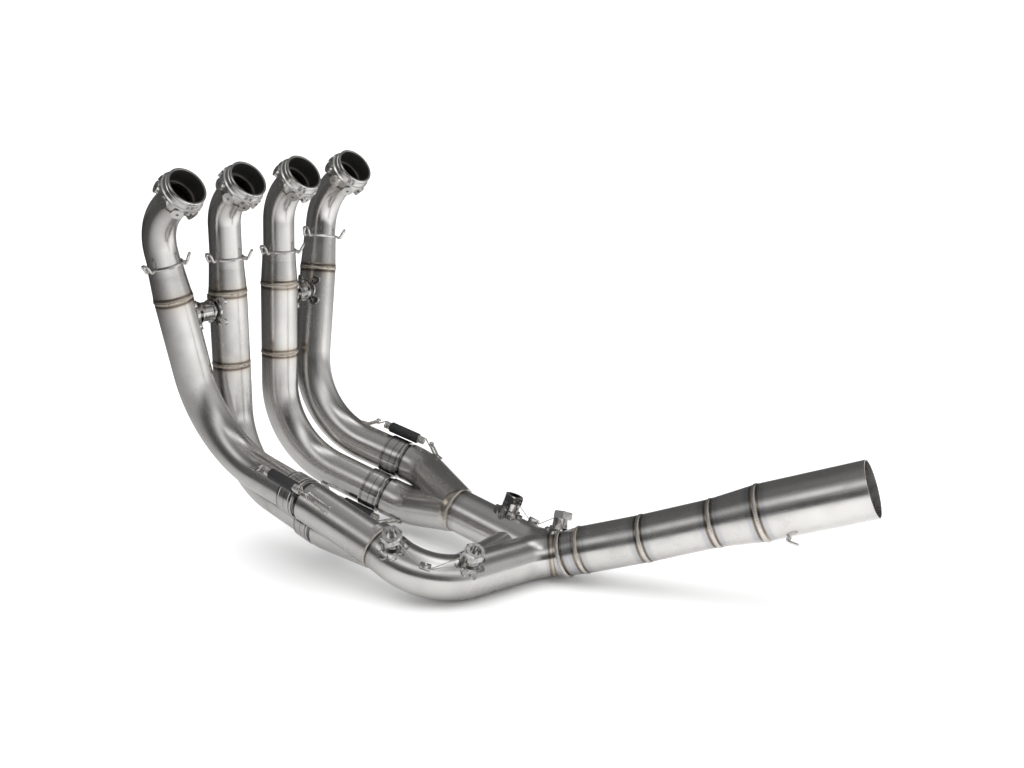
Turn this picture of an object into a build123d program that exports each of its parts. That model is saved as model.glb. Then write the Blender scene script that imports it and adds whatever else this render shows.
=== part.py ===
from build123d import *
import math
import os

os.makedirs("parts", exist_ok=True)

# Place of the port line: the header runs along X to the rear, Y goes from pipe 1
# to pipe 4, and the lowest pipe touches the floor at Z = 0
port_back = -305.96
port_side = -19.44
port_height = 441.69

# Ports
port_pitch = 90.0
port_tilt = 37.5        # how far each port faces up from the level
port_bore = 42.0
port_clock = (123.5, 109.5, 131.0, 121.0)   # where one pad of each port sits

# Pipes
upper_od = 38.0
header_od = 45.0
branch_od = 47.5
secondary_od = 50.8
main_od = 54.0
outlet_od = 63.5
wall = 1.2

# Bend points of the four header pipes, measured from the middle of the port line
port_run = (76.0, 56.0, 57.0, 73.0)
port_bend = (64.0, 46.0, 58.0, 65.0)
knee = ((-48.0, -80.0, -317.0), (-50.0, -40.0, -359.0),
        (-53.0, 38.0, -347.0), (-45.0, 82.0, -322.0))
knee_bend = (115.0, 93.0, 112.0, 115.0)
toe = ((125.0, -92.5, -350.0), (121.5, -62.0, -393.0),
       (116.5, 87.0, -409.5), (118.0, 118.0, -370.0))
toe_bend = (45.0, 62.0, 58.0, 64.0)
cone_start = (118.0, 113.0, 116.0, 114.0)     # along each pipe from its rim
mid_weld = (None, 242.5, 244.5, None)
collar_start = (463.0, 494.0, 472.0, 446.0)

# Bend points of the two secondaries and of the main pipe, from the same point
near_join = (214.5, -78.5, -386.5)
near_bend_point = (287.5, -79.5, -415.8)
near_bend = 70.0
near_turn_point = (331.0, 67.0, -416.4)
near_turn = 52.0
far_join = (209.5, 68.0, -388.5)
far_bend_point = (317.0, 74.5, -415.0)
far_bend = 61.0
main_points = ((360.0, 76.0, -411.5), (380.0, 82.5, -404.0), (448.5, 103.0, -380.5),
               (522.0, 125.5, -352.5), (570.0, 139.65, -334.5), (678.0, 171.5, -294.0))

# Port spigots
spigot_length = 31.0
lip_radius = 23.8
shoulder_radius = 26.4
pad_count = 8
pad_radius = 7.0
pad_depth = 20.0
pad_height = 27.4
pad_hole = 3.2
tube_depth = 21.5       # how far inside the rim the upper bend ends

# Cone sleeves
cone_length = 42.0
cone_socket = 12.0
cone_lip = 2.6
slide_clearance = 0.1

# Slip joints
collar_length = 25.0
collar_wall = 2.0
collar_seat = 10.0
slip_gap = 5.0
spigot_od = 43.6
spigot_insert = 12.0

# Collectors
ring_length = 9.0

# Crossovers between pipes 1 and 2, and 3 and 4
cross_od = 20.0
cross_drop = 156.0      # below the port line
cross_stub = 11.0       # how far each stub stands out of its pipe
sleeve_wall = 1.4
sleeve_flange = 1.8
sleeve_length = 17.5
saddle_radius = 13.5
saddle_leg = 17.5       # from the stub's axis to the middle of each foot
saddle_foot = 5.2
saddle_thick = 2.0
saddle_hole = 4.0

# Balance tube between the two secondaries, by the distance along each
balance_od = 32.0
balance_near = 84.0
balance_far = 84.0

# Sensor bosses and their plugs: the distance along the pipe, and the way each looks
boss_places = (("near_front", 24.0, (0.33, -0.46, 0.83)), ("near_rear", 107.0, (0.52, -0.18, 0.84)),
               ("far_front", 65.0, (0.21, 0.27, 0.94)), ("far_rear", 141.0, (-0.09, 0.46, 0.88)))
boss_od = 21.0
boss_height = 13.0
boss_foot = 26.0
boss_foot_height = 3.5
boss_thread = 18.0
thread_clearance = 0.1
plug_flats = 21.0
plug_head = 8.5
plug_recess = 13.0
plug_recess_depth = 11.0
plug_shank = 11.0
petal_count = 8
petal_radius = 4.8
petal_ring = 13.5
petal_thick = 2.4


def spot(point):
    """A point given from the middle of the port line, in the header's frame."""
    x, y, z = point
    return Vector(port_back + x, port_side + y, port_height + z)


def pipe_route(points, radii):
    """Centre line of a bent pipe: straight runs joined by tangent arcs."""
    with BuildLine() as line:
        FilletPolyline(*points, radius=radii)
    return line.wires()[0]


def stretch(route, start, end):
    """The part of a route between two distances along it."""
    return route.trim(max(start / route.length, 0.0), min(end / route.length, 1.0))


def station(route, distance):
    """Plane square across a route, at a distance along it."""
    here = distance / route.length
    return Plane(origin=route.position_at(here), z_dir=route.tangent_at(here))


def facing(route, distance, toward):
    """Plane on a route's centre line that looks outward, square to the pipe."""
    here = distance / route.length
    along = route.tangent_at(here)
    toward = Vector(toward)
    outward = toward - along * toward.dot(along)
    return Plane(origin=route.position_at(here), x_dir=along, z_dir=outward)


def tube(route, outer, bore=None, start=0.0, end=None):
    """Pipe swept along part of a route, hollow if it is given a bore."""
    end = route.length if end is None else end
    with BuildPart() as pipe:
        with BuildSketch(station(route, start)):
            Circle(outer / 2)
            if bore:
                Circle(bore / 2, mode=Mode.SUBTRACT)
        sweep(path=stretch(route, start, end))
    return pipe


def keep(builder, name):
    """Label a finished piece and write it to its own file."""
    builder.part.label = name
    export_step(builder.part, f"parts/{name}.step")


tilt = math.radians(port_tilt)
out_of_port = Vector(math.cos(tilt), 0, math.sin(tilt))
header_bore = header_od - 2 * wall


def rim_point(index):
    return Vector(0, (index - 1.5) * port_pitch, 0)


def header_points(index):
    rim = rim_point(index)
    elbow = rim - out_of_port * port_run[index]
    return [spot(rim), spot(elbow), spot(knee[index]), spot(toe[index])]


headers = []
for i in range(4):
    headers.append(pipe_route(header_points(i), (port_bend[i], knee_bend[i])))


# Port spigots: a turned ring with a slim front lip, and eight pads round its rear edge
def port_spigot(index):
    rim = Plane(origin=spot(rim_point(index)), x_dir=(0, 1, 0), z_dir=-out_of_port)
    section = Plane(origin=rim.origin, x_dir=rim.x_dir, z_dir=-rim.y_dir)
    turning = Axis(rim.origin, rim.z_dir)
    bore = port_bore / 2
    seat = upper_od / 2
    with BuildPart() as spigot:
        with BuildSketch(section):
            with BuildLine():
                Polyline((bore + 0.7, 0), (lip_radius - 0.5, 0), (lip_radius, 0.6), (lip_radius, 2.6),
                         (lip_radius - 1.0, 3.2), (lip_radius - 1.0, 4.4), (lip_radius + 0.2, 5.0),
                         (lip_radius + 0.9, 9.4), (shoulder_radius, 10.4), (shoulder_radius, 12.0),
                         (shoulder_radius - 0.7, 12.8), (shoulder_radius - 1.0, pad_depth),
                         (seat + 3.0, pad_depth + 4.5), (seat + 1.2, spigot_length - 2.5),
                         (seat, spigot_length - 2.5), (seat, tube_depth), (bore - 1.2, tube_depth),
                         (bore, tube_depth - 1.2), (bore, 0.7), close=True)
            make_face()
        revolve(axis=turning)
        for k in range(pad_count):
            angle = math.radians(port_clock[index] + 360 / pad_count * k)
            outward = rim.x_dir * math.cos(angle) + rim.y_dir * math.sin(angle)
            pad = Plane(origin=rim.origin + rim.z_dir * pad_depth + outward * (seat + 2),
                        x_dir=rim.z_dir, z_dir=outward)
            with BuildSketch(pad):
                Circle(pad_radius)
            extrude(amount=pad_height - seat - 2)
            with BuildSketch(pad.offset(pad_height - seat - 2)):
                Circle(pad_hole / 2)
            extrude(amount=-4.0, mode=Mode.SUBTRACT)
        with BuildSketch(rim.offset(pad_depth)):
            Circle(bore)
        extrude(amount=-pad_depth, mode=Mode.SUBTRACT)
    return spigot


for i in range(4):
    keep(port_spigot(i), f"port_spigot_{i + 1}")

# Upper bends: pressed into the spigots, and sliding in the cones below
for i in range(4):
    bend = tube(headers[i], upper_od, upper_od - 2 * wall, tube_depth, cone_start[i] + cone_socket)
    keep(bend, f"upper_bend_{i + 1}")


# Cone sleeves: a socket with a rolled lip that widens to the pipe below
def cone_sleeve(index):
    base = station(headers[index], cone_start[index])
    section = Plane(origin=base.origin, x_dir=base.x_dir, z_dir=-base.y_dir)
    socket = upper_od / 2 + slide_clearance
    shell = socket + wall
    wide = header_od / 2
    with BuildPart() as cone:
        with BuildSketch(section):
            with BuildLine():
                Polyline((socket, 0), (shell + 0.9, 0), (shell + 1.3, cone_lip / 2), (shell + 0.9, cone_lip),
                         (shell, cone_lip + 0.6), (shell + 0.3, cone_socket), (wide - 0.4, cone_length - 6),
                         (wide, cone_length - 4), (wide, cone_length), (wide - wall, cone_length),
                         (wide - wall, cone_length - 4), (shell - 0.9, cone_socket + 1),
                         (socket, cone_socket + 0.5), close=True)
            make_face()
        revolve(axis=Axis(base.origin, base.z_dir))
    return cone


for i in range(4):
    keep(cone_sleeve(i), f"cone_sleeve_{i + 1}")

# Crossover axes: level with each other on the straight run of each pipe
def level_point(index):
    elbow, corner = header_points(index)[1:3]
    share = (elbow.Z - (port_height - cross_drop)) / (elbow.Z - corner.Z)
    return elbow + (corner - elbow) * share


def level_run(index):
    elbow, corner = header_points(index)[1:3]
    return (corner - elbow).normalized()


neighbour = (1, 0, 3, 2)


def cross_plane(index):
    """Plane on a pipe's centre line that looks at the pipe it is linked to."""
    here = level_point(index)
    there = level_point(neighbour[index])
    return Plane(origin=here, x_dir=level_run(index), z_dir=there - here)


def rod(plane, diameter, start, end):
    """Round bar square to a plane, between two heights above it."""
    with BuildPart() as bar:
        with BuildSketch(plane.offset(start)):
            Circle(diameter / 2)
        extrude(amount=end - start)
    return bar.part


# Lower header pipes: pipes 2 and 3 are welded up from two lengths
def header_length(index, start, end):
    with BuildPart() as pipe:
        add(tube(headers[index], header_od, header_bore, start, end).part)
        add(rod(cross_plane(index), cross_od - 2 * wall, 0, header_od), mode=Mode.SUBTRACT)
    return pipe


for i in range(4):
    start = cone_start[i] + cone_length
    end = collar_start[i] + collar_seat
    if mid_weld[i]:
        keep(header_length(i, start, mid_weld[i]), f"mid_tube_{i + 1}")
        keep(tube(headers[i], header_od, header_bore, mid_weld[i], end), f"lower_bend_{i + 1}")
    else:
        keep(header_length(i, start, end), f"lower_bend_{i + 1}")


# Crossover saddles: a stub on a ring, with four feet that wrap the pipe
def crossover_saddle(index):
    plane = cross_plane(index)
    along = Plane(origin=plane.origin, z_dir=level_run(index))
    surface = header_od / 2
    reach = 2 * saddle_leg
    with BuildPart() as saddle:
        with BuildSketch(plane):
            Circle(saddle_radius)
            for corner in (45, 135, 225, 315):
                leg = Vector(saddle_leg, 0, 0).rotate(Axis.Z, corner)
                with Locations(Location((leg.X / 2, leg.Y / 2, 0), (0, 0, corner))):
                    Rectangle(saddle_leg, saddle_foot * 1.3)
                with Locations((leg.X, leg.Y)):
                    Circle(saddle_foot)
                    Circle(saddle_hole / 2, mode=Mode.SUBTRACT)
        extrude(amount=surface + saddle_thick)
        add(rod(along, header_od + 2 * saddle_thick, -reach, reach), mode=Mode.INTERSECT)
        add(rod(plane, cross_od, 0, surface + cross_stub))
        add(rod(along, header_od, -reach, reach), mode=Mode.SUBTRACT)
        add(rod(plane, cross_od - 2 * wall, 0, header_od), mode=Mode.SUBTRACT)
    return saddle


for i in range(4):
    keep(crossover_saddle(i), f"crossover_saddle_{i + 1}")


# Crossover sleeves: slide over the two stubs, with a rolled flange at each end
def crossover_sleeve(index):
    plane = cross_plane(index)
    gap = (level_point(neighbour[index]) - level_point(index)).length
    start = (gap - sleeve_length) / 2
    bore = cross_od / 2 + slide_clearance
    outer = bore + sleeve_wall
    rolled = outer + sleeve_flange
    section = Plane(origin=plane.origin, x_dir=plane.x_dir, z_dir=-plane.y_dir)
    with BuildPart() as sleeve:
        with BuildSketch(section):
            with BuildLine():
                Polyline((bore, start), (rolled, start), (rolled, start + 1.4), (outer, start + 2.6),
                         (outer, start + sleeve_length - 2.6), (rolled, start + sleeve_length - 1.4),
                         (rolled, start + sleeve_length), (bore, start + sleeve_length), close=True)
            make_face()
        revolve(axis=Axis(plane.origin, plane.z_dir))
    return sleeve


keep(crossover_sleeve(0), "crossover_sleeve_12")
keep(crossover_sleeve(2), "crossover_sleeve_34")


# Slip collars: a turned sleeve, welded on the header pipe, that takes the branch spigot
def slip_collar(index):
    base = station(headers[index], collar_start[index])
    section = Plane(origin=base.origin, x_dir=base.x_dir, z_dir=-base.y_dir)
    seat = header_od / 2
    throat = spigot_od / 2 + slide_clearance
    rim = seat + collar_wall
    with BuildPart() as collar:
        with BuildSketch(section):
            with BuildLine():
                Polyline((seat, 0), (rim - 0.8, 0), (rim, 0.8), (rim, 4.0), (rim - 0.5, 4.4), (rim - 0.5, 5.0),
                         (rim, 5.4), (rim, collar_length - 5.4), (rim - 0.5, collar_length - 5.0),
                         (rim - 0.5, collar_length - 4.4), (rim, collar_length - 4.0),
                         (rim, collar_length - 0.6), (rim - 0.6, collar_length), (throat, collar_length),
                         (throat, collar_seat), (seat, collar_seat), close=True)
            make_face()
        revolve(axis=Axis(base.origin, base.z_dir))
    return collar


for i in range(4):
    keep(slip_collar(i), f"slip_collar_{i + 1}")

# Branch routes: from the header's end, round the toe, into the join of each pair
pair_of = (near_join, near_join, far_join, far_join)
near_exit = Vector(near_bend_point) - Vector(near_join)
far_exit = Vector(far_bend_point) - Vector(far_join)
exit_of = (near_exit, near_exit, far_exit, far_exit)
collar_end = [start + collar_length for start in collar_start]
branch_start = [end + slip_gap for end in collar_end]


def branch_route(index):
    """Centre line from the header's slip joint to just past its pair's join."""
    first = headers[index].position_at(collar_start[index] / headers[index].length)
    corner = spot(toe[index])
    join = spot(pair_of[index])
    onward = exit_of[index].normalized()
    aside = corner - join
    aside = (aside - onward * aside.dot(onward)).normalized()
    last = join + onward * ring_length + aside * (secondary_od - branch_od) / 2
    return pipe_route((first, corner, last), (toe_bend[index],))


branches = [branch_route(i) for i in range(4)]


# Pair collectors: two branch pipes cut into each other, run into one ring
def pair_collector(first, second):
    mouth = Plane(origin=spot(pair_of[first]), z_dir=exit_of[first])
    neck = collar_length + slip_gap
    tail = collar_length - spigot_insert
    spigot_bore = spigot_od - 2 * wall
    with BuildPart() as collector:
        for index in (first, second):
            add(tube(branches[index], branch_od, start=neck).part)
        with BuildSketch(mouth):
            Circle(secondary_od / 2)
        extrude(amount=-ring_length)
        for index in (first, second):
            add(tube(branches[index], branch_od - 2 * wall, start=neck).part, mode=Mode.SUBTRACT)
        with BuildSketch(mouth):
            Circle(secondary_od / 2 - wall)
        extrude(amount=-ring_length - wall, mode=Mode.SUBTRACT)
        split(bisect_by=mouth, keep=Keep.BOTTOM)
        for index in (first, second):
            add(tube(branches[index], spigot_od, spigot_bore, tail, neck + wall).part)
            add(tube(branches[index], branch_od, spigot_bore, neck, neck + wall).part)
    return collector


keep(pair_collector(0, 1), "collector_near")
keep(pair_collector(2, 3), "collector_far")

# Secondaries: the near one crosses over to the far one, which is cut to lie against it
mains = [spot(point) for point in main_points]
near_arrival = (mains[0] - spot(near_turn_point)).normalized()
far_arrival = (mains[0] - spot(far_bend_point)).normalized()
main_heading = (mains[1] - mains[0]).normalized()
main_mouth = Plane(origin=mains[0], z_dir=near_arrival + main_heading)
run_past = secondary_od / 2     # length let past the mouth, then cut off along it
near_route = pipe_route((spot(near_join), spot(near_bend_point), spot(near_turn_point),
                         mains[0] + near_arrival * run_past), (near_bend, near_turn))
far_route = pipe_route((spot(far_join), spot(far_bend_point), mains[0] + far_arrival * run_past),
                       (far_bend,))
secondary_bore = secondary_od - 2 * wall


# Planes of the sensor bosses, and the line of the balance tube
def boss_route(name):
    return near_route if name.startswith("near") else far_route


def boss_plane(name, distance, toward):
    return facing(boss_route(name), distance, toward)


def boss_hole(place):
    return rod(boss_plane(*place), boss_thread, 0, secondary_od)


balance_start = near_route.position_at(balance_near / near_route.length)
balance_end = far_route.position_at(balance_far / far_route.length)
balance_plane = Plane(origin=balance_start, z_dir=balance_end - balance_start)
balance_length = (balance_end - balance_start).length
balance_bore = rod(balance_plane, balance_od - 2 * wall, 0, balance_length)


with BuildPart() as secondary_near:
    add(tube(near_route, secondary_od).part)
    add(tube(near_route, secondary_bore).part, mode=Mode.SUBTRACT)
    add(tube(far_route, secondary_bore, start=far_bend).part, mode=Mode.SUBTRACT)
    add(balance_bore, mode=Mode.SUBTRACT)
    for place in boss_places[:2]:
        add(boss_hole(place), mode=Mode.SUBTRACT)
    split(bisect_by=main_mouth, keep=Keep.BOTTOM)
keep(secondary_near, "secondary_near")

with BuildPart() as secondary_far:
    add(tube(far_route, secondary_od, secondary_bore).part)
    add(tube(near_route, secondary_od).part, mode=Mode.SUBTRACT)
    add(balance_bore, mode=Mode.SUBTRACT)
    for place in boss_places[2:]:
        add(boss_hole(place), mode=Mode.SUBTRACT)
    split(bisect_by=main_mouth, keep=Keep.BOTTOM)
    add(secondary_far.part.solids().sort_by(SortBy.VOLUME)[-1], mode=Mode.REPLACE)
keep(secondary_far, "secondary_far")

with BuildPart() as balance_tube:
    add(rod(balance_plane, balance_od, 0, balance_length))
    add(balance_bore, mode=Mode.SUBTRACT)
    add(tube(near_route, secondary_od).part, mode=Mode.SUBTRACT)
    add(tube(far_route, secondary_od).part, mode=Mode.SUBTRACT)
keep(balance_tube, "balance_tube")


# Sensor bosses: a threaded boss on a scalloped foot that follows the pipe
def sensor_boss(name, distance, toward):
    plane = boss_plane(name, distance, toward)
    route = boss_route(name)
    surface = secondary_od / 2
    top = surface + boss_height
    near_by = (max(distance - boss_foot * 1.2, 0.0), min(distance + boss_foot * 1.2, route.length))
    pipe = tube(route, secondary_od, None, *near_by).part
    with BuildPart() as boss:
        with BuildSketch(plane.offset(surface / 2)):
            Circle(boss_foot / 2)
            with PolarLocations(petal_ring, petal_count):
                Circle(petal_radius)
        extrude(amount=surface)
        add(tube(route, secondary_od + 2 * petal_thick, None, *near_by).part, mode=Mode.INTERSECT)
        add(rod(plane, boss_foot, surface - 4.0, surface + boss_foot_height))
        add(rod(plane, boss_od, surface - 4.0, top))
        add(pipe, mode=Mode.SUBTRACT)
        if route is far_route:
            add(tube(near_route, secondary_od).part, mode=Mode.SUBTRACT)
            split(bisect_by=main_mouth, keep=Keep.BOTTOM)
        add(rod(plane, boss_thread, 0, top), mode=Mode.SUBTRACT)
        add(boss.part.solids().sort_by(SortBy.VOLUME)[-1], mode=Mode.REPLACE)
    return boss


# Plugs: a hexagon head with a deep round recess, drilled for its lock wire
def boss_plug(name, distance, toward):
    plane = boss_plane(name, distance, toward)
    base = secondary_od / 2 + boss_height
    shank = boss_thread / 2 - thread_clearance
    corner = plug_flats / math.sqrt(3)
    section = Plane(origin=plane.origin, x_dir=plane.x_dir, z_dir=-plane.y_dir)
    with BuildPart() as plug:
        with BuildSketch(section):
            with BuildLine():
                Polyline((0, base), (corner, base), (corner, base + plug_head - 1.2),
                         (corner - 1.8, base + plug_head), (0, base + plug_head), close=True)
            make_face()
        revolve(axis=Axis(plane.origin, plane.z_dir))
        with BuildSketch(plane.offset(base)):
            RegularPolygon(plug_flats / 2, 6, major_radius=False)
        extrude(amount=plug_head, mode=Mode.INTERSECT)
        add(rod(plane, 2 * shank, base - plug_shank, base))
        add(rod(plane, plug_recess, base + plug_head - plug_recess_depth, base + plug_head),
            mode=Mode.SUBTRACT)
    return plug


for place in boss_places:
    keep(sensor_boss(*place), f"sensor_boss_{place[0]}")
    keep(boss_plug(*place), f"boss_plug_{place[0]}")


# Main pipe: straight lengths cut at half the angle and butt welded
def mitred_length(index, start_od, end_od):
    """Length of main pipe between two of its points, cut to half the angle at each end."""
    start, end = mains[index], mains[index + 1]
    along = (end - start).normalized()
    before = (start - mains[index - 1]).normalized() if index else near_arrival
    after = (mains[index + 2] - end).normalized() if index + 2 < len(mains) else along
    reach = main_od / 2
    grow = (end_od - start_od) / (end - start).length * reach
    with BuildPart() as length:
        for trim, mode in ((0, Mode.ADD), (wall, Mode.SUBTRACT)):
            with BuildSketch(Plane(origin=start - along * reach, z_dir=along)):
                Circle((start_od - grow) / 2 - trim)
            with BuildSketch(Plane(origin=end + along * reach, z_dir=along)):
                Circle((end_od + grow) / 2 - trim)
            loft(mode=mode)
        split(bisect_by=Plane(origin=start, z_dir=before + along), keep=Keep.TOP)
        split(bisect_by=Plane(origin=end, z_dir=along + after), keep=Keep.BOTTOM)
    return length


main_lengths = (("main_ring", secondary_od, main_od), ("main_pipe_front", main_od, main_od),
                ("main_pipe_rear", main_od, main_od), ("outlet_cone", main_od, outlet_od),
                ("outlet_pipe", outlet_od, outlet_od))
for k, (name, start_od, end_od) in enumerate(main_lengths):
    keep(mitred_length(k, start_od, end_od), name)

print("built the pipes")
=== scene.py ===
# %% [markdown]
# # A stainless exhaust header, dressed from its frame
# We start with the solid model of the header: four pipes that come down from the engine, join in
# two pairs, cross over and leave as one. Its pieces already have their real shapes. What is left
# for us is how the steel looks, the weld beads, the springs and wires, and the light.
# %% Load the frame
import math
import bpy
import numpy as np
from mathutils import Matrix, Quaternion, Vector


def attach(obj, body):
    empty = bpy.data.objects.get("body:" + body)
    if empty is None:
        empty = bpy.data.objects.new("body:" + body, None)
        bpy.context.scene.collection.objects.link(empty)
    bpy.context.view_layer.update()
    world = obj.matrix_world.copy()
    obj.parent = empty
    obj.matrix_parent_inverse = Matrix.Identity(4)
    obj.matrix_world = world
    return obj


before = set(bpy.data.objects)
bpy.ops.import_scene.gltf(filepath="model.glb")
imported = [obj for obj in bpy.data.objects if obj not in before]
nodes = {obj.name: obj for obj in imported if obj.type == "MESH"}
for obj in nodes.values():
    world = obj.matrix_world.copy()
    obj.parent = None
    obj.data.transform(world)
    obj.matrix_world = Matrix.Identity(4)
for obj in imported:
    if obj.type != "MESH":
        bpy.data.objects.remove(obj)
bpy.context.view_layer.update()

print("pieces of the frame:", len(nodes))

# %% [markdown]
# The photograph was taken from the front right, a little above the object. The camera stands
# where its lens saw the four ports and the outlet at their real places, and it leans by a fifth
# of a degree, as a camera held on a tripod often does.
# %% Camera
eye_level, eye_turn, eye_lean = math.radians(15.1), math.radians(35.7), math.radians(0.2)
toward_camera = Vector((math.sin(eye_turn) * math.cos(eye_level),
                        -math.cos(eye_turn) * math.cos(eye_level), math.sin(eye_level)))
camera = bpy.data.objects.new("camera", bpy.data.cameras.new("camera"))
bpy.context.scene.collection.objects.link(camera)
camera.location = (0.83224, -1.13214, 0.61329)
camera.rotation_mode = "QUATERNION"
camera.rotation_quaternion = ((-toward_camera).to_track_quat("-Z", "Y")
                              @ Quaternion((0, 0, 1), eye_lean))
camera.data.sensor_width = 36.0
camera.data.lens = 46.95
camera.data.clip_start, camera.data.clip_end = 0.05, 60.0
bpy.context.scene.camera = camera
bpy.context.scene.view_settings.view_transform = "Standard"
print("camera at", [round(c, 3) for c in camera.location], "lens", round(camera.data.lens, 2))

# %% [markdown]
# Every pipe follows a route: straight runs joined by arcs. The brushing, the heat tints and the
# weld beads all follow these routes. So the first helper walks along a bent line and notes the
# place, the heading and the distance as it goes, and two others read such a route.
# %% Walking along a bent line
slanted = (0.31, 0.2, 0.93)


def bent(points, radii, step=0.0015):
    """Samples of a bent line: places, headings and distances."""
    points = [np.array(p, float) for p in points]
    places, start = [points[0]], points[0]
    for before, corner, after, radius in zip(points, points[1:], points[2:], radii):
        into = (corner - before) / np.linalg.norm(corner - before)
        out = (after - corner) / np.linalg.norm(after - corner)
        turn = math.acos(float(np.clip(into @ out, -1, 1)))
        reach = radius * math.tan(turn / 2)
        first = corner - into * reach
        side = out - into * (into @ out)
        side = side / max(np.linalg.norm(side), 1e-9)
        count = max(int(np.linalg.norm(first - start) / step), 1)
        places += [start + (first - start) * k / count for k in range(1, count + 1)]
        count = max(int(radius * turn / step), 4)
        for k in range(1, count + 1):
            a = turn * k / count
            places.append(first + into * radius * math.sin(a) + side * radius * (1 - math.cos(a)))
        start = corner + out * reach
    count = max(int(np.linalg.norm(points[-1] - start) / step), 1)
    places += [start + (points[-1] - start) * k / count for k in range(1, count + 1)]
    places = np.array(places)
    gaps = np.linalg.norm(np.diff(places, axis=0), axis=1)
    headings = np.gradient(places, axis=0)
    headings /= np.linalg.norm(headings, axis=1)[:, None]
    return places, headings, np.concatenate([[0], np.cumsum(gaps)])


def level_frames(route):
    """Two directions square to a route at each sample, carried along without twist."""
    headings = route[1]
    side = np.cross(headings[0], slanted)
    sides = []
    for heading in headings:
        side = side - heading * (side @ heading)
        side = side / np.linalg.norm(side)
        sides.append(side)
    sides = np.array(sides)
    return sides, np.cross(headings, sides)


def at(route, distance):
    """Place and heading at a distance along a route."""
    places, headings, along = route
    place = np.array([np.interp(distance, along, places[:, k]) for k in range(3)])
    heading = np.array([np.interp(distance, along, headings[:, k]) for k in range(3)])
    return place, heading / np.linalg.norm(heading)


elbow = bent(((0, 0, 0), (0.1, 0, 0), (0.1, 0.1, 0)), (0.03,))
print("an elbow has", len(elbow[0]), "samples and is", round(float(elbow[2][-1]), 3), "m long")

# %% [markdown]
# We repeat the bend points of the model here, measured in metres from the middle of the port
# line. Lists of four go from pipe 1 to pipe 4. A run is the straight part behind a port, the knee
# and the toe are the two lower bends of a header pipe, and a join is where two pipes become one.
# Where a cone, a collar or a weld sits is given as a distance along its pipe.
# %% Bend points of the header
port_line = np.array((-0.30596, -0.01944, 0.44169))
port_pitch, port_tilt = 0.090, math.radians(37.5)
out_of_port = np.array((math.cos(port_tilt), 0, math.sin(port_tilt)))
port_run = (0.076, 0.056, 0.057, 0.073)
port_bend = (0.064, 0.046, 0.058, 0.065)
knee = ((-0.048, -0.080, -0.317), (-0.050, -0.040, -0.359),
        (-0.053, 0.038, -0.347), (-0.045, 0.082, -0.322))
knee_bend = (0.115, 0.093, 0.112, 0.115)
toe = ((0.125, -0.0925, -0.350), (0.1215, -0.062, -0.393),
       (0.1165, 0.087, -0.4095), (0.118, 0.118, -0.370))
toe_bend = (0.045, 0.062, 0.058, 0.064)
cone_start = (0.118, 0.113, 0.116, 0.114)
cone_length = 0.042
collar_start = (0.463, 0.494, 0.472, 0.446)
mid_weld = (None, 0.2425, 0.2445, None)
near_join, near_bend, near_turn = ((0.2145, -0.0785, -0.3865), (0.2875, -0.0795, -0.4158),
                                   (0.331, 0.067, -0.4164))
far_join, far_bend = (0.2095, 0.068, -0.3885), (0.317, 0.0745, -0.415)
main_points = ((0.360, 0.076, -0.4115), (0.380, 0.0825, -0.404), (0.4485, 0.103, -0.3805),
               (0.522, 0.1255, -0.3525), (0.570, 0.13965, -0.3345), (0.678, 0.1715, -0.294))
upper_radius, header_radius, second_radius = 0.019, 0.0225, 0.0254
branch_radius, main_radius, outlet_radius = 0.02375, 0.027, 0.03175
balance_at, slip_depth = 0.084, 0.0275
print("ports:", len(port_run), "at a pitch of", port_pitch, "m")

# %% [markdown]
# From the bend points come the routes. A branch of a collector starts where its slip collar does
# and ends a hair beside the shared line, so the two branches close up into one pipe.
# %% Routes of the pipes
def spot(point):
    """A point given from the middle of the port line."""
    return port_line + np.array(point)


branch_onward, branch_aside, overlap = 0.009, 0.00165, 0.2
headers = []
for i in range(4):
    rim = np.array((0, (i - 1.5) * port_pitch, 0))
    headers.append(bent((spot(rim), spot(rim - out_of_port * port_run[i]), spot(knee[i]),
                         spot(toe[i])), (port_bend[i], knee_bend[i])))
branches = []
for i in range(4):
    join, onto = (near_join, near_bend) if i < 2 else (far_join, far_bend)
    onward = np.array(onto) - np.array(join)
    onward /= np.linalg.norm(onward)
    aside = np.array(toe[i]) - np.array(join)
    aside -= onward * (aside @ onward)
    aside /= np.linalg.norm(aside)
    last = spot(join) + onward * branch_onward + aside * branch_aside
    branches.append(bent((at(headers[i], collar_start[i])[0], spot(toe[i]), last), (toe_bend[i],)))
arrive = spot(main_points[0]) + (np.array(main_points[0]) - near_turn) * overlap
near = bent((spot(near_join), spot(near_bend), spot(near_turn), arrive), (0.070, 0.052))
arrive = spot(main_points[0]) + (np.array(main_points[0]) - far_bend) * overlap
far = bent((spot(far_join), spot(far_bend), arrive), (0.061,))
main = bent([spot(p) for p in main_points], [0.02] * 4)
main_stations = [float(main[2][np.argmin(np.linalg.norm(main[0] - spot(p), axis=1))])
                 for p in main_points]
print("routes:", [round(float(r[2][-1]), 3) for r in headers + branches + [near, far, main]])

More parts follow.
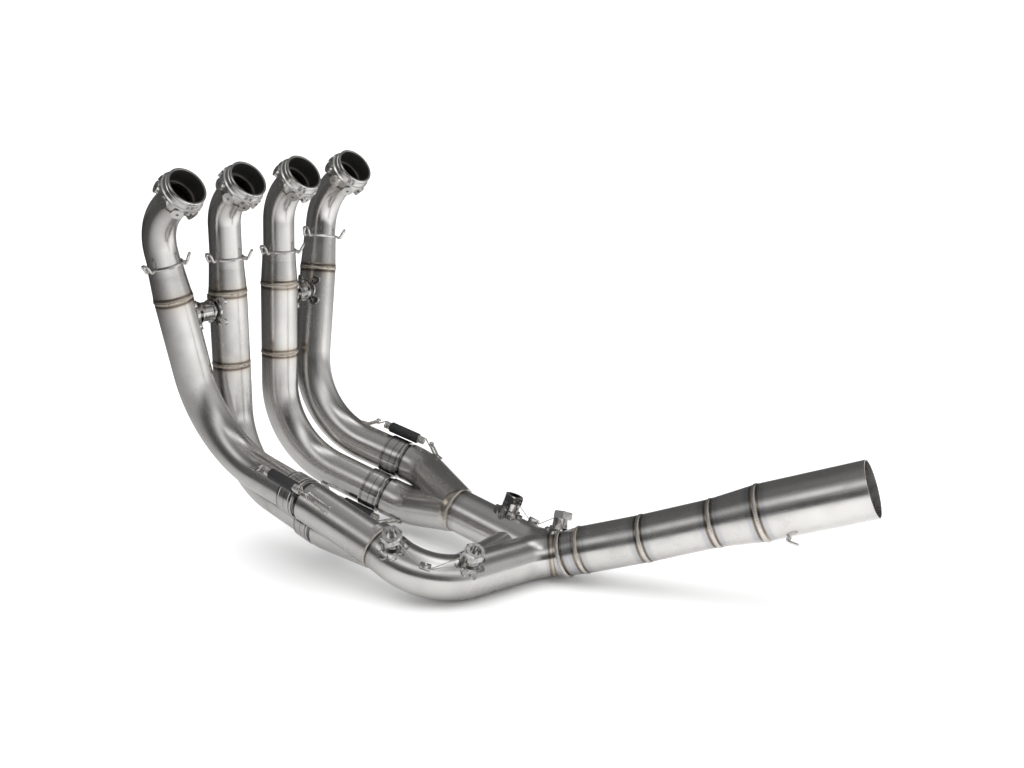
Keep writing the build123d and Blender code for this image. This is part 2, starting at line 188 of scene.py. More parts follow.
# %% [markdown]
# A shader can't know which way a bent pipe runs. So we store it: every vertex of a pipe gets the
# place it would have if the pipe were pulled straight. Two numbers say where round the pipe it
# lies, and the third how far along. Brush marks and tints are then as simple as on a plain tube.
# %% Straightened places
def straighten(name, routes, chunk=4000, stride=4):
    """Store each vertex's place on the straightened pipe, from the nearest of the routes."""
    mesh = nodes[name].data
    spots = np.zeros(len(mesh.vertices) * 3)
    mesh.vertices.foreach_get("co", spots)
    spots = spots.reshape(-1, 3)
    best = np.full(len(spots), np.inf)
    straight = np.zeros_like(spots)
    for route in routes:
        sides, ups = level_frames(route)
        places, headings, along = route
        for first in range(0, len(spots), chunk):
            some = slice(first, first + chunk)
            away = spots[some][:, None, :] - places[None, ::stride, :]
            pick = np.argmin((away ** 2).sum(2), axis=1) * stride
            off = spots[some] - places[pick]
            ahead = (off * headings[pick]).sum(1)
            off -= headings[pick] * ahead[:, None]
            gap = np.linalg.norm(off, axis=1)
            found = np.stack([(off * sides[pick]).sum(1), (off * ups[pick]).sum(1),
                              along[pick] + ahead], axis=1)
            nearer = gap < best[some]
            straight[some][nearer] = found[nearer]
            best[some][nearer] = gap[nearer]
    layer = mesh.attributes.new("straight", "FLOAT_VECTOR", "POINT")
    layer.data.foreach_set("vector", straight.astype(np.float32).ravel())


# %% [markdown]
# Each pipe is told its route. A collector has two of them, one for each branch, and a vertex
# takes the nearer one. The fittings have no direction of their own, so they are left out.
# %% Straighten every pipe
main_names = ("main_ring", "main_pipe_front", "main_pipe_rear", "outlet_cone", "outlet_pipe")
route_of = {}
for i in range(4):
    for kind in ("port_spigot", "upper_bend", "cone_sleeve", "mid_tube", "lower_bend",
                 "slip_collar"):
        if f"{kind}_{i + 1}" in nodes:
            route_of[f"{kind}_{i + 1}"] = [headers[i]]
route_of["collector_near"], route_of["collector_far"] = branches[:2], branches[2:]
route_of["secondary_near"], route_of["secondary_far"] = [near], [far]
for name in main_names:
    route_of[name] = [main]
balance = bent((at(near, balance_at)[0], at(far, balance_at)[0]), ())
route_of["balance_tube"] = [balance]
for name, routes in route_of.items():
    straighten(name, routes)
print("straightened:", len(route_of))

# %% [markdown]
# Materials are written as sums. The small class below wraps one output of a shader node, and
# its operators add the nodes that do the arithmetic, so a tint reads like the formula it is.
# %% Shader sums
class Flow:
    """One output of a shader node, with arithmetic."""
    def __init__(self, tree, socket):
        self.tree, self.socket = tree, socket

    def math(self, operation, *others, clamp=False):
        """The output of a new Math node that takes this socket first."""
        node = self.tree.nodes.new("ShaderNodeMath")
        node.operation, node.use_clamp = operation, clamp
        for slot, value in zip(node.inputs, (self,) + others):
            feed(self.tree, slot, value)
        return Flow(self.tree, node.outputs[0])

    def __add__(self, other): return self.math("ADD", other)
    def __sub__(self, other): return self.math("SUBTRACT", other)
    def __mul__(self, other): return self.math("MULTIPLY", other)
    def __truediv__(self, other): return self.math("DIVIDE", other)
    def __pow__(self, other): return self.math("POWER", other)
    def __radd__(self, other): return self.math("ADD", other)
    def __rmul__(self, other): return self.math("MULTIPLY", other)
    def __neg__(self): return self.math("MULTIPLY", -1.0)
    def __abs__(self): return self.math("ABSOLUTE")

    def __rsub__(self, other):
        return (-self).math("ADD", other)

    def lower(self, other):
        """The lower one of two."""
        return self.math("MINIMUM", other)

    def clamped(self):
        """Kept between 0 and 1."""
        return self.math("ADD", 0.0, clamp=True)

    def hump(self, middle, width):
        """1 at the middle, falling to 0 on both sides like a bell."""
        return (((self - middle) / width) ** 2.0 * -1.0).math("EXPONENT")

    def ramp(self, low, high):
        """0 below the low value, 1 above the high one."""
        return ((self - low) / (high - low)).clamped()


def feed(tree, slot, value):
    """Link a socket, or write a plain value, into an input."""
    if isinstance(value, Flow):
        tree.links.new(value.socket, slot)
    else:
        slot.default_value = value


# %% [markdown]
# The second class holds the nodes of one material. One method makes any node and feeds its
# inputs, and the others are short names for the nodes that come back again and again.
# %% Nodes of a material
class Shader:
    """The nodes of one new material, or of a tree that is handed in."""
    def __init__(self, name=None, tree=None):
        if tree is None:
            self.material = bpy.data.materials.new(name)
            self.material.use_nodes = True
            tree = self.material.node_tree
            self.surface = tree.nodes["Principled BSDF"]
        self.tree = tree

    def node(self, kind, settings=(), inputs=(), output=0):
        made = self.tree.nodes.new(kind)
        for key, value in dict(settings).items():
            setattr(made, key, value)
        for key, value in dict(inputs).items():
            feed(self.tree, made.inputs[key], value)
        return Flow(self.tree, made.outputs[output])

    def parts(self, vector):
        """The three numbers of a vector."""
        split = self.node("ShaderNodeSeparateXYZ", inputs={"Vector": vector}).socket.node
        return [Flow(self.tree, split.outputs[k]) for k in range(3)]

    def joined(self, x, y, z):
        return self.node("ShaderNodeCombineXYZ", inputs={"X": x, "Y": y, "Z": z})

    def noise(self, vector, scale, detail=3.0):
        return self.node("ShaderNodeTexNoise", inputs={"Vector": vector, "Scale": scale,
                                                       "Detail": detail})

    def mixed(self, share, first, second):
        """The first colour where the share is 0, the second where it is 1."""
        made = self.tree.nodes.new("ShaderNodeMix")
        made.data_type = "RGBA"
        feed(self.tree, made.inputs["Factor"], share)
        feed(self.tree, made.inputs[6], first)
        feed(self.tree, made.inputs[7], second)
        return Flow(self.tree, made.outputs[2])

    def bump(self, height, distance):
        """A relief as deep as the distance, in metres."""
        return self.node("ShaderNodeBump", inputs={"Height": height, "Distance": distance,
                                                   "Strength": 1.0})

    def set(self, **inputs):
        """Feed inputs of the surface, with _ for a space in their names."""
        for key, value in inputs.items():
            feed(self.tree, self.surface.inputs[key.replace("_", " ")], value)


# %% [markdown]
# The tubes are stainless steel that was brushed with a belt, so fine lines run round them. Close
# to a weld the steel got hot and took a straw and brown tint, and blue where it got hotter; the
# dark brown band right beside a bead is heat tint and painted shade together. Handling leaves
# cloudy patches that reflect a little softer than the rest. The slip gaps get a near-black ring of
# painted shade, and the rolled tubes of the upper bends show their long seam.
# %% Brushed tube
steel = (0.74, 0.725, 0.705, 1)
straw = (0.56, 0.46, 0.33, 1)
brown_and_shade = (0.09, 0.065, 0.05, 1)
blue = (0.30, 0.37, 0.50, 1)
slip_gap_shade, seam_shade = (0.02, 0.02, 0.02, 1), (0.05, 0.05, 0.05, 1)


def tube_steel(name, welds, blued=0.0, rough=0.19, gap_at=None, seam=None):
    """Brushed tube with heat tints and painted shade at its welds, a ring of painted shade in its
    slip gap, and a seam, if it has them.
    """
    made = Shader(name)
    straight = made.node("ShaderNodeAttribute", {"attribute_name": "straight"}, output=1)
    x, y, s = made.parts(straight)
    place = made.node("ShaderNodeTexCoord", output=3)
    cloud = made.noise(place, 14.0, 4.0)
    smudge = made.noise(place, 46.0, 5.0)
    brushed = made.noise(made.joined(x * 8.0, y * 8.0, s * 900.0), 1.0, 2.0)
    drawn = made.noise(made.joined(x * 420.0, y * 420.0, s * 5.0), 1.0, 3.0)
    scratch = made.noise(made.joined(x * 900.0, y * 900.0, s * 22.0), 1.0, 1.0).ramp(0.71, 0.76)
    dull = tuple(c * 0.62 for c in steel[:3]) + (1,)
    colour = made.mixed(cloud.ramp(0.3, 0.75) * 0.5 + smudge.ramp(0.5, 0.8) * 0.3, steel, dull)
    if welds:
        gap = abs(s - welds[0])
        for weld in welds[1:]:
            gap = gap.lower(abs(s - weld))
        gap = gap + (cloud - 0.5) * 0.003
        colour = made.mixed((gap.hump(0.0, 0.009) * 0.55).clamped(), colour, straw)
        if blued:
            colour = made.mixed(gap.hump(0.0085, 0.0028) * blued, colour, blue)
        # heat tint and painted shade: a dark brown band right beside each bead
        burnt_and_shade = gap.hump(0.0038, 0.0018) * cloud.ramp(0.2, 0.5)
        colour = made.mixed(burnt_and_shade * 0.9, colour, brown_and_shade)
    if gap_at:
        # painted shade: a near-black ring where the pipe leaves its slip collar
        colour = made.mixed(s.hump(gap_at, 0.0019) * 0.9, colour, slip_gap_shade)
    if seam:
        far_side = (x * seam[0] + y * seam[1]).ramp(0.0, -0.001)
        off = abs(x * seam[1] - y * seam[0]) + far_side * 0.01
        colour = made.mixed(off.hump(0.0007, 0.0004) * 0.55, colour, seam_shade)
        smudge = smudge + off.hump(0.0, 0.0005) * 2.0
    roughness = rough + cloud.ramp(0.35, 0.7) * 0.10 + (smudge - 0.5) * 0.12 + scratch * 0.15
    made.set(Base_Color=colour, Metallic=1.0, Roughness=roughness.clamped(),
             Normal=made.bump(brushed * 0.35 + drawn * 0.5 + smudge * 0.4, 0.00006))
    return made.material


# %% [markdown]
# Now every tube gets its steel. A tint sits where the model has a weld, so we hand over the
# distances of the welds along the route, and the side of the tube on which its seam lies.
# %% Paint the tubes
def paint(name, material):
    """Give a node of the frame its one material."""
    nodes[name].data.materials.clear()
    nodes[name].data.materials.append(material)


def seam_of(route, distance, look):
    """Which side of a straightened pipe faces the given way."""
    sides, ups = level_frames(route)
    k = int(np.argmin(abs(route[2] - distance)))
    found = np.array((sides[k] @ np.array(look), ups[k] @ np.array(look)))
    return tuple(float(v) for v in found / np.linalg.norm(found))


seam_look, port_weld, join_weld = (-0.45, -0.89, 0.0), 0.024, 0.02
for i in range(4):
    welds = [cone_start[i] + cone_length] + ([mid_weld[i]] if mid_weld[i] else [])
    tube = tube_steel(f"header_tube_{i + 1}", welds, gap_at=collar_start[i] + slip_depth)
    for kind in ("cone_sleeve", "mid_tube", "lower_bend"):
        if f"{kind}_{i + 1}" in nodes:
            paint(f"{kind}_{i + 1}", tube)
    seam = seam_of(headers[i], 0.08, seam_look) if i else None
    paint(f"upper_bend_{i + 1}", tube_steel(f"upper_tube_{i + 1}", [port_weld], seam=seam))
for side_name, branch, second in (("near", branches[0], near), ("far", branches[2], far)):
    paint(f"collector_{side_name}", tube_steel(f"collector_{side_name}_steel",
                                               [float(branch[2][-1])], gap_at=slip_depth))
    paint(f"secondary_{side_name}", tube_steel(f"{side_name}_pipe",
                                               [0.0, float(second[2][-1]) - join_weld], blued=0.3))
paint("balance_tube", tube_steel("balance_steel", []))
main_steel = tube_steel("main_pipe_steel", main_stations[:5], blued=0.4, rough=0.22)
for name in main_names:
    paint(name, main_steel)
print("painted tubes, materials so far:", len(bpy.data.materials))

# %% [markdown]
# The port rings and slip collars were turned on a lathe, so they shine more and carry fine
# grooves square to the pipe, with dark lines of painted shade in the collars' grooves. Their bores
# are dull, and painted shade darkens them. The saddles and bosses are milled, and the plugs are
# polished.
# %% Turned, milled and polished steel
bore_edge = (0.0222, 0.0212)


def turned_steel(name, grooves, lines=(), tone=(0.78, 0.77, 0.75, 1)):
    """Lathe-turned steel: so many grooves to the metre, dark lines of painted shade at the given
    distances, and painted shade in the bore.
    """
    made = Shader(name)
    straight = made.node("ShaderNodeAttribute", {"attribute_name": "straight"}, output=1)
    x, y, s = made.parts(straight)
    place = made.node("ShaderNodeTexCoord", output=3)
    cloud = made.noise(place, 60.0, 4.0)
    cut = (s * grooves * 2 * math.pi).math("SINE") * 0.5 + 0.5
    fine = made.noise(made.joined(x * 10.0, y * 10.0, s * 2600.0), 1.0, 2.0)
    colour = made.mixed(cloud.ramp(0.4, 0.8) * 0.4, tone, (0.45, 0.43, 0.41, 1))
    # painted shade: near-black lines in the turned grooves
    for line in lines:
        colour = made.mixed(s.hump(line, 0.00035) * 0.9, colour, (0.03, 0.03, 0.03, 1))
    bore = ((x * x + y * y) ** 0.5).ramp(*bore_edge)
    # painted shade: the inside of the bore is darkened almost to black
    colour = made.mixed(bore * 0.9, colour, (0.09, 0.088, 0.085, 1))
    made.set(Base_Color=colour, Metallic=1.0,
             Roughness=(0.11 + (cloud - 0.4) * 0.2 + fine * 0.06 + bore * 0.35).clamped(),
             Normal=made.bump(cut * 0.6 + fine * 0.4, 0.00004))
    return made.material


def polished_steel(name, rough, scale, tone=(0.80, 0.79, 0.78, 1), patch_darkness=0.4):
    """Bright steel with darker patches spread at random."""
    made = Shader(name)
    place = made.node("ShaderNodeTexCoord", output=3)
    cloud = made.noise(place, scale, 4.0)
    # darker patches placed at random by noise, not in corners
    made.set(Base_Color=made.mixed(cloud.ramp(0.48, 0.62) * patch_darkness, tone, (0.10, 0.095, 0.09, 1)),
             Metallic=1.0, Roughness=(rough + (cloud - 0.4) * 0.2).clamped(),
             Normal=made.bump(cloud, 0.00002))
    return made.material


port_steel = turned_steel("turned_port", 0.0)
milled = polished_steel("milled_fitting", 0.08, 120.0, (0.62, 0.61, 0.59, 1), 0.7)
bright = polished_steel("polished_plug", 0.05, 200.0, patch_darkness=0.35)
# distances from a collar's start where painted shade darkens its grooves
groove_shade_lines = (0.0022, 0.0034, 0.0135, 0.0216, 0.0228)
for name in nodes:
    if name.startswith("port_spigot"):
        paint(name, port_steel)
    elif name.startswith("slip_collar"):
        start = collar_start[int(name[-1]) - 1]
        lines = [start + d for d in groove_shade_lines]
        paint(name, turned_steel(name + "_steel", 900.0, lines, tone=(0.62, 0.61, 0.60, 1)))
    elif name.startswith(("crossover", "sensor_boss")):
        paint(name, milled)
    elif name.startswith("boss_plug"):
        paint(name, bright)
print("materials:", len(bpy.data.materials))

# %% [markdown]
# Small pieces are built as meshes. The first helper adds a piece to the header, so that it rides
# along with it. The second turns rows of points into a skin, and the third finds two directions
# square to an axis, which every round piece needs.
# %% Mesh helpers
def piece(name, verts, faces, material):
    """A piece of the header that rides on its one body."""
    mesh = bpy.data.meshes.new(name)
    mesh.from_pydata([tuple(map(float, v)) for v in verts], [], faces)
    mesh.polygons.foreach_set("use_smooth", [True] * len(mesh.polygons))
    mesh.materials.append(material)
    made = bpy.data.objects.new(name, mesh)
    bpy.context.scene.collection.objects.link(made)
    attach(made, "root")
    return made


def skin(rows, closed_rows=False):
    """Faces between rows of points that each go once round."""
    count, faces = len(rows[0]), []
    last = len(rows) if closed_rows else len(rows) - 1
    for r in range(last):
        low, high = r * count, (r + 1) % len(rows) * count
        for k in range(count):
            j = (k + 1) % count
            faces.append((low + k, low + j, high + j, high + k))
    return faces


def square_to(heading):
    """Two directions square to a heading and to each other."""
    heading = np.array(heading, float) / np.linalg.norm(heading)
    side = np.cross(heading, (0.2, 0.35, 0.91))
    side /= np.linalg.norm(side)
    return side, np.cross(heading, side)


print("faces between two rows of eight points:", len(skin([range(8), range(8)])))

# %% [markdown]
# A weld bead is a row of small overlapping puddles. We lay it as a low ring round the pipe and
# let its height and width pulse once for each puddle. Some welds were brushed flat, and there
# only a faint ripple is left.
# %% Weld beads
arch_points, bead_sink = 7, 0.0004


def bead_rows(centre, heading, radius, width, height, ripple, puddles):
    """Rows of a rippled ring round a pipe."""
    side, up = square_to(heading)
    rows = []
    steps = puddles * 6
    for k in range(steps):
        a = 2 * math.pi * k / steps
        pulse = 0.5 + 0.5 * math.cos(puddles * a)
        arch = 1 - ripple * pulse
        lean = ripple * 0.25 * math.sin(puddles * a)
        row = []
        squeeze = 1 - 0.25 * ripple * pulse
        for m in range(arch_points):
            t = math.pi * m / (arch_points - 1)
            out = radius - bead_sink + (height * arch + bead_sink) * math.sin(t)
            shift = -math.cos(t) * width / 2 * squeeze + lean * width * math.sin(t)
            row.append(centre + heading * shift + (side * math.cos(a) + up * math.sin(a)) * out)
        rows.append(row)
    return rows


def bead(name, stops, material):
    """One or more weld rings, joined in one piece."""
    verts, faces = [], []
    for route, distance, radius, width, height, ripple in stops:
        centre, heading = at(route, distance)
        rows = bead_rows(centre, heading, radius, width, height, ripple, int(radius * 2400))
        base, count = len(verts), len(rows)
        for row in rows:
            verts += row
        for k in range(count):
            a, b = base + k * arch_points, base + (k + 1) % count * arch_points
            faces += [(a + m, a + m + 1, b + m + 1, b + m) for m in range(arch_points - 1)]
    return piece(name, verts, faces, material)


def weld_steel(name, tint):
    """Steel of a bead, clean in the middle of its patches and tinted between them."""
    made = Shader(name)
    place = made.node("ShaderNodeTexCoord", output=3)
    cloud = made.noise(place, 300.0, 3.0)
    made.set(Base_Color=made.mixed(cloud.ramp(0.35, 0.7), (0.70, 0.67, 0.63, 1), tint),
             Metallic=1.0, Roughness=(0.22 + cloud * 0.16).clamped(),
             Normal=made.bump(cloud, 0.0001))
    return made.material


# %% [markdown]
# We lay the rings: one below each cone sleeve, one below each middle length, one at the start of
# each secondary and five along the main pipe. The upper ones took on more colour.
# %% Lay the weld rings
warm_weld = weld_steel("warm_weld", (0.45, 0.35, 0.24, 1))
clean_weld = weld_steel("clean_weld", (0.58, 0.56, 0.54, 1))
for i in range(4):
    stops = [(headers[i], cone_start[i] + cone_length, header_radius, 0.0038, 0.0007, 0.5)]
    if mid_weld[i]:
        stops.append((headers[i], mid_weld[i], header_radius, 0.0034, 0.0006, 0.6))
    bead(f"header_welds_{i + 1}", stops, warm_weld)
bead("secondary_welds", [(near, 0.0, second_radius, 0.0042, 0.0008, 0.5),
                         (far, 0.0, second_radius, 0.0042, 0.0008, 0.5)], clean_weld)
bead("main_welds", [(main, main_stations[k], radius, 0.0046, 0.0008, 0.35) for k, radius in
                    ((0, main_radius), (1, main_radius), (2, main_radius), (3, main_radius),
                     (4, outlet_radius))], clean_weld)
print("weld rings on the header pipes:", 4 + sum(1 for weld in mid_weld if weld))

# %% [markdown]
# Wire pieces all come from one helper: it sweeps a round section along a path. The hooks are
# doubled wire bent to a V, the springs are helixes with a round eye at each end, and the lock
# wires are two strands twisted together.
# %% Wire
def wire_mesh(path, radius, sides=10):
    """Vertices and faces of a wire along a path, with rounded ends."""
    path = np.array(path, float)
    headings = np.gradient(path, axis=0)
    headings /= np.linalg.norm(headings, axis=1)[:, None]
    side = np.cross(headings[0], slanted)
    rows, count = [], len(path)
    turns = [2 * math.pi * j / sides for j in range(sides)]
    for k, heading in enumerate(headings):
        side = side - heading * (side @ heading)
        side = side / np.linalg.norm(side)
        up = np.cross(heading, side)
        rings = [(0.0, 1.0)]
        if k == 0:
            rings = [(-0.9, 0.3), (-0.6, 0.8), (0.0, 1.0)]
        elif k == count - 1:
            rings = [(0.0, 1.0), (0.6, 0.8), (0.9, 0.3)]
        for ahead, share in rings:
            rows.append([path[k] + (heading * ahead + side * math.cos(a) * share
                                    + up * math.sin(a) * share) * radius for a in turns])
    verts = [v for row in rows for v in row]
    faces = skin(rows)
    faces.append(tuple(range(sides))[::-1])
    faces.append(tuple(range(len(verts) - sides, len(verts))))
    return verts, faces


def wires(name, paths, radius, material, sides=10):
    """One piece made of several wires."""
    verts, faces = [], []
    for path in paths:
        some, skins = wire_mesh(path, radius, sides)
        faces += [tuple(k + len(verts) for k in f) for f in skins]
        verts += some
    return piece(name, verts, faces, material)


def looking(route, distance, look):
    """Place, heading and outward direction on a route, facing about the way given."""
    place, heading = at(route, distance)
    look = np.array(look, float)
    look -= heading * (look @ heading)
    return place, heading, look / np.linalg.norm(look)


def hook_path(place, heading, outward, radius, foot, crook, tip, gap=0.0078, thick=0.0030):
    """Doubled wire: two feet on the pipe, a crook, and a round tip held out from the pipe."""
    across = np.cross(outward, heading)
    level = math.sqrt((radius + thick / 2) ** 2 - (gap / 2) ** 2)
    flat = [(foot, level, 1), (crook, level, 1), (tip[0], tip[1], 1), (tip[0], tip[1], -1),
            (crook, level, -1), (foot, level, -1)]
    points = [place + heading * x + outward * z + across * side * gap / 2 for x, z, side in flat]
    return bent(points, (0.0022, gap * 0.49, gap * 0.49, 0.0022), step=0.0007)[0]


# %% [markdown]
# Each cone sleeve has two hooks near its lip, one on either side of the pipe. They point up
# toward the port, and springs will reach from them to the engine when the header is fitted.
# %% Hooks of the upper slip joints
wire_steel = polished_steel("drawn_wire", 0.18, 500.0, (0.74, 0.72, 0.69, 1))
hook_wire, hook_rise = 0.0015, 0.0105
cone_shell = upper_radius + 0.0013
cone_looks = ((0.10, -0.99, 0.10), (0.80, 0.60, 0.2))
for i in range(4):
    paths = []
    for look in cone_looks:
        place, heading, outward = looking(headers[i], cone_start[i] + 0.010, look)
        paths.append(hook_path(place, heading, outward, cone_shell + 0.0006, -0.008, 0.0,
                               (-0.0175, cone_shell + hook_rise)))
    wires(f"cone_hooks_{i + 1}", paths, hook_wire, wire_steel)
print("hooks on the cone sleeves:", 4 * len(cone_looks))

# %% [markdown]
# Where two branches meet in a collector, their tubes cut each other along a curve, and a bead
# runs along it. We find it on one tube: at each station we look for the points of its skin that
# lie exactly one radius from the other tube's centre line.
# %% Crotch welds of the collectors
def crotch(first, second, radius):
    """Curve where two tubes meet: down one side to the crotch, and back on the other."""
    sides, ups = level_frames(first)
    turns = np.radians(np.arange(0, 361, 3))
    above, below = [], []
    for k in range(10, len(first[0]) - 8, 3):
        ring = first[0][k] + radius * (np.cos(turns)[:, None] * sides[k]
                                       + np.sin(turns)[:, None] * ups[k])
        gaps = np.linalg.norm(ring[:, None, :] - second[0][None, ::2, :], axis=2).min(1) - radius
        for j in np.nonzero(gaps[:-1] * gaps[1:] < 0)[0]:
            share = gaps[j] / (gaps[j] - gaps[j + 1])
            found = ring[j] + (ring[j + 1] - ring[j]) * share
            (above if found[2] > first[0][k][2] else below).append(found)
    return above[::-1] + below


crotch_bead, smoothings = 0.0013, 6
for side_name, pair in (("near", branches[:2]), ("far", branches[2:])):
    path = np.array(crotch(pair[0], pair[1], branch_radius))
    for _ in range(smoothings):
        path[1:-1] = (path[:-2] + path[1:-1] * 2 + path[2:]) / 4
    wires(f"crotch_weld_{side_name}", [path], crotch_bead, clean_weld, sides=8)
    print("crotch weld", side_name, len(path), "points")

# %% [markdown]
# Each slip joint is held shut by a spring between two hooks. The spring is one wire: an eye, a
# close coil and another eye. These are the sizes of the four springs and where they sit.
# %% Springs
spring_back = (0.031, 0.028, 0.034, 0.029)
spring_look = ((0.08, -0.70, 0.71), (0.1, 0.95, -0.3), (0.05, -0.68, -0.73), (0.15, 0.45, 0.88))
spring_length, spring_height, spring_wire = 0.078, 0.032, 0.0018
coil_radius, coil_length, coil_turns = 0.0040, 0.058, 30
coil_steps, spring_eye = 20, 0.0028


def spring_path(origin, along, outward):
    """Helix with a hooked eye at each end."""
    across = np.cross(outward, along)
    first, steps = (spring_length - coil_length) / 2, coil_turns * coil_steps

    def end(sign, centre):
        return [centre + (outward * math.sin(a) - along * sign * math.cos(a)) * spring_eye
                for a in np.radians(np.arange(-140, 151, 12))]

    helix = []
    for k in range(steps + 1):
        a = 2 * math.pi * k / coil_steps
        helix.append(origin + along * (first + coil_length * k / steps)
                     + (outward * math.cos(a) + across * math.sin(a)) * coil_radius)
    return end(1, origin)[::-1] + helix + end(-1, origin + along * spring_length)


print("springs:", len(spring_back), "of", spring_length, "m")

# %% [markdown]
# A rubber sleeve over each coil stops it from ringing and rattling. It is a turned piece, so a
# short profile that goes once round the axis is enough.
# %% Rubber sleeves
rubber_length, rubber_radius, rubber_wall, rubber_round = 0.040, 0.0065, 0.0014, 0.0005
rubber = Shader("matt_rubber")
grain = rubber.noise(rubber.node("ShaderNodeTexCoord", output=3), 700.0, 4.0)
rubber.set(Base_Color=rubber.mixed(grain.ramp(0.3, 0.8), (0.012, 0.012, 0.013, 1),
                                   (0.03, 0.03, 0.032, 1)),
           Roughness=(0.5 + grain * 0.2).clamped(), Normal=rubber.bump(grain, 0.00008))


def lathe(name, origin, along, profile, material, steps=48):
    """A turned piece: the profile gives distance along the axis and radius, and closes."""
    side, up = square_to(along)
    rows = []
    for k in range(steps):
        a = 2 * math.pi * k / steps
        rows.append([origin + along * d + (side * math.cos(a) + up * math.sin(a)) * r
                     for d, r in profile])
    return piece(name, [v for row in rows for v in row], skin(rows, closed_rows=True),
                 material)


# %% [markdown]
# Now we hang the springs. The upper hook stands on the header pipe and the lower one on the
# collector's branch, so the lower hook looks for the far eye of the spring and reaches up to it.
# %% Hang the springs
for i in range(4):
    place, along, outward = looking(headers[i], collar_start[i] - spring_back[i], spring_look[i])
    origin = place + outward * spring_height
    wires(f"retaining_spring_{i + 1}", [spring_path(origin, along, outward)], spring_wire / 2,
          wire_steel, sides=8)
    start, end = (spring_length - rubber_length) / 2, (spring_length + rubber_length) / 2
    lathe(f"rubber_sleeve_{i + 1}", origin, along,
          [(start, rubber_radius - rubber_wall), (start, rubber_radius - rubber_round),
           (start + 0.0006, rubber_radius), (end - 0.0006, rubber_radius),
           (end, rubber_radius - rubber_round), (end, rubber_radius - rubber_wall)],
          rubber.material)
    upper = hook_path(place, along, outward, header_radius, -0.018, -0.011, (0.0, spring_height))
    below = spring_length - spring_back[i] + 0.011
    far_eye = origin + along * spring_length
    place, heading, outward = looking(branches[i], below, far_eye - at(branches[i], below)[0])
    reach = far_eye - place
    lower = hook_path(place, heading, outward, branch_radius, 0.007, 0.0,
                      (float(reach @ heading), float(reach @ outward)))
    wires(f"spring_hooks_{i + 1}", [upper, lower], hook_wire, wire_steel)

place, heading, outward = looking(main, main_stations[4] + 0.017, (0.42, -0.42, -0.80))
outlet_path = hook_path(place, heading, outward, outlet_radius, 0.007, 0.0,
                        (0.015, outlet_radius + hook_rise))
wires("outlet_hook", [outlet_path], hook_wire, wire_steel)
print("springs hung:", len(spring_back))

# %% [markdown]
# The plugs of the sensor bosses are secured by lock wire. It runs from a hole in each plug's head
# to a small drilled lug on the pipe, and its two strands are twisted all the way.
# %% Lock wires and lugs
def twisted(points, turns, strand=0.00033):
    """Two strands that wind about a bent line."""
    route = bent(points, [0.004] * (len(points) - 2), step=0.0006)
    sides, ups = level_frames(route)
    share = route[2] / route[2][-1]
    paths = []
    for half in (0, math.pi):
        a = share * turns * 2 * math.pi + half
        paths.append(route[0] + (sides * np.cos(a)[:, None] + ups * np.sin(a)[:, None]) * strand)
    return paths


def lug(name, route, distance, look):
    """A drilled lug welded on a pipe: returns the middle of its hole."""
    place, heading, outward = looking(route, distance, look)
    across = np.cross(outward, heading)
    centre = place + outward * (second_radius + 0.0028)
    hole, half, bevel, end = 0.0010, 0.0035, 0.0006, 0.0062
    turns = [2 * math.pi * k / 24 for k in range(24)]
    rows = []
    for x, width in ((-end, half - bevel), (bevel - end, half), (end - bevel, half),
                     (end, half - bevel)):
        row = []
        for a in turns:
            cx, cz = math.cos(a), math.sin(a)
            reach = width / max(abs(cx), abs(cz)) ** 0.8
            row.append(centre + heading * x + across * cx * reach + outward * cz * reach)
        rows.append(row)
    for x in (end, -end):
        rows.append([centre + heading * x + (across * math.cos(a) + outward * math.sin(a)) * hole
                     for a in turns])
    piece(name, [v for row in rows for v in row], skin(rows, closed_rows=True), milled)
    return centre, heading


# %% [markdown]
# The heads of the plugs are known from the model. A wire leaves a head toward the lug, passes
# straight through its hole and goes on to the next head.
# %% Tie the plugs
head_clear, lug_clear, wire_turns, strand_radius = 0.0085, 0.0075, 26, 0.0003
heads = {"near_front": (-0.0553, -0.1177, 0.0815), "near_rear": (0.0157, -0.0638, 0.0616),
         "far_front": (-0.0243, 0.0639, 0.0776), "far_rear": (0.0374, 0.0758, 0.0668)}
for side_name, route, distance, look in (("near", near, 0.062, (0.54, -0.57, 0.62)),
                                         ("far", far, 0.096, (0.18, 0.51, 0.84))):
    eye, heading = lug(f"lock_lug_{side_name}", route, distance, look)
    front, rear = np.array(heads[f"{side_name}_front"]), np.array(heads[f"{side_name}_rear"])
    toward = (eye - front) / np.linalg.norm(eye - front)
    back = (eye - rear) / np.linalg.norm(eye - rear)
    line = [front + toward * head_clear, eye - heading * lug_clear, eye + heading * lug_clear,
            rear + back * head_clear]
    wires(f"lock_wire_{side_name}", twisted(line, wire_turns), strand_radius, wire_steel,
          sides=6)
    print("lock wire", side_name, "tied")

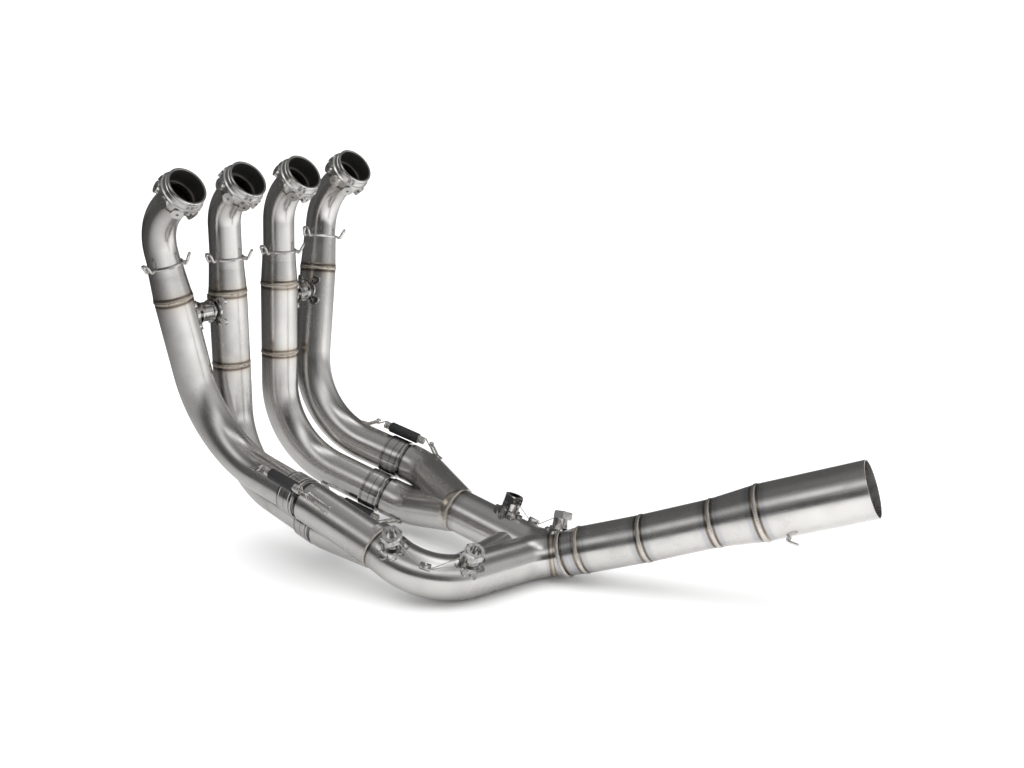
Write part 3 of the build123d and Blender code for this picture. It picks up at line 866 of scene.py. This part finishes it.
# %% [markdown]
# The header lies on a white floor, and for the camera it makes almost the whole background. In
# the steel the same floor has to look as it does in a studio: bright round the header and to its
# right, and darker to the left and farther away. So its colour depends on the kind of ray.
# %% Floor
turn_sine, turn_cosine = 0.583, 0.812
reach = 14.0
floor = bpy.data.objects.new("floor", bpy.data.meshes.new("floor"))
floor.data.from_pydata([(-reach, -reach, 0), (reach, -reach, 0), (reach, reach, 0),
                        (-reach, reach, 0)], [], [(0, 1, 2, 3)])
bpy.context.scene.collection.objects.link(floor)
paper = Shader("white_floor")
px, py, _ = paper.parts(paper.node("ShaderNodeTexCoord", output=3))
ahead = px * turn_sine - py * turn_cosine
aside = px * turn_cosine + py * turn_sine
light_path = paper.node("ShaderNodeLightPath").socket.node
glimpse = Flow(paper.tree, light_path.outputs["Is Glossy Ray"])
dim = 0.04 + aside.ramp(-1.15, 0.25) * 0.80
dim = dim * (1.0 - ahead.ramp(0.9, 2.2) * 0.55) * (0.35 + ahead.ramp(-1.3, -0.25) * 0.65)
shade = (1.0 - glimpse) * 0.90 + glimpse * dim
paper.set(Base_Color=paper.node("ShaderNodeCombineColor", inputs={0: shade, 1: shade, 2: shade}),
          Roughness=0.9)
floor.data.materials.append(paper.material)
print("floor of", 2 * reach, "m laid")

# %% [markdown]
# Polished steel shows its surroundings, so a studio has to be designed. We split the world by the
# kind of ray: rays that light the scene see an even white, and rays that mirror off the steel see
# dark walls with bright panels. One soft sun adds the faint shadow under the pipes.
# %% Studio
world = bpy.data.worlds.new("studio")
bpy.context.scene.world = world
world.use_nodes = True
sky = Shader(tree=world.node_tree)
wx, wy, wz = sky.parts(sky.node("ShaderNodeTexCoord", output=0))
front = wx * turn_sine - wy * turn_cosine
right = wx * turn_cosine + wy * turn_sine
room = 0.10 + wz.ramp(0.80, 1.0) * 0.22 + right.ramp(0.45, 0.9) * wz.hump(0.25, 0.4) * 0.5
room = room + front.ramp(0.0, 0.5) * wz.hump(0.62, 0.15) * 0.95
room = room - front.ramp(0.2, 0.6) * wz.hump(0.05, 0.2) * 0.07
room = room + right.hump(0.3, 0.12) * wz.hump(0.9, 0.08) * 1.6
light_path = sky.node("ShaderNodeLightPath").socket.node
mirrored = Flow(sky.tree, light_path.outputs["Is Glossy Ray"])
background = world.node_tree.nodes["Background"]
background.inputs["Color"].default_value = (1, 1, 1, 1)
feed(sky.tree, background.inputs["Strength"], room * mirrored + (1.0 - mirrored) * 1.15)
sun = bpy.data.objects.new("overhead", bpy.data.lights.new("overhead", "SUN"))
bpy.context.scene.collection.objects.link(sun)
sun.data.energy, sun.data.angle = 1.5, math.radians(60)
sun.rotation_euler = (math.radians(12), math.radians(-14), 0)
sun.visible_glossy = False
print("lights:", sun.name, "and the world")
